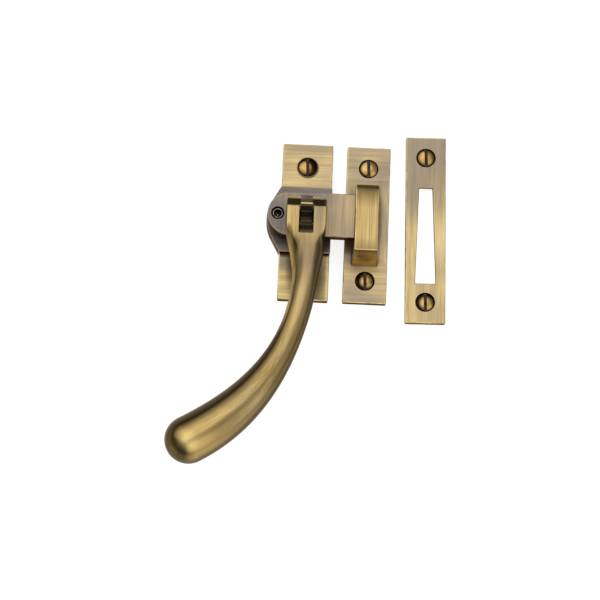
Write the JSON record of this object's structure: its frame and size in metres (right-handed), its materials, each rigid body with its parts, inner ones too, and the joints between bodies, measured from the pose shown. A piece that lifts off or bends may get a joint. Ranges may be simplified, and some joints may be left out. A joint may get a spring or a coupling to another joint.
{
  "type": "casement window fastener",
  "caption": "Casement window fastener: a base plate with a turning tongue and a fold-over bulb handle, a hook plate that holds the tongue and a flat mortice plate.",
  "frame": {"origin": "the spindle axis, on the mounting plane at the back of the plates", "axes": "+Z out of the plates along the spindle, +X along the tongue towards the hook plate, -Y along the hanging handle"},
  "size_m": [0.1017, 0.1341, 0.0473],
  "materials": {
    "antique_brass": "brushed and darkened, lacquered",
    "tongue_brass": "brushed, greyer patina",
    "dark_brass": "dark patina",
    "steel": "bright",
    "washer_fibre": "dull"
  },
  "bodies": {
    "window_side": {"base_plate": "antique_brass", "base_screw_upper": "antique_brass", "base_screw_lower": "antique_brass", "friction_washer": "washer_fibre", "thrust_washer": "steel", "disc_spring": "steel", "hook_plate": "antique_brass", "hook_screw_upper": "antique_brass", "hook_screw_lower": "antique_brass", "mortice_plate": "antique_brass", "mortice_screw_upper": "antique_brass", "mortice_screw_lower": "antique_brass"},
    "turning_tongue": {"tongue": "tongue_brass", "spindle": "steel"},
    "folding_handle": {"handle": "antique_brass", "handle_pin": "dark_brass"},
    "locking_screw": {"lock_screw": "steel"}
  },
  "joints": [
    {"name": "handle_turn", "type": "hinge", "parent": "window_side", "child": "turning_tongue", "pos_m": [0, 0, 0], "axis": [0, 0, 1], "range_deg": [0, 90]},
    {"name": "handle_flip", "type": "hinge", "parent": "turning_tongue", "child": "folding_handle", "pos_m": [0, 0, 0.022], "axis": [-1, 0, 0], "range_deg": [0, 180]},
    {"name": "lock_screw_travel", "type": "slide", "parent": "turning_tongue", "child": "locking_screw", "axis": [0, 0, -1], "range_m": [0, 0.0012]}
  ]
}
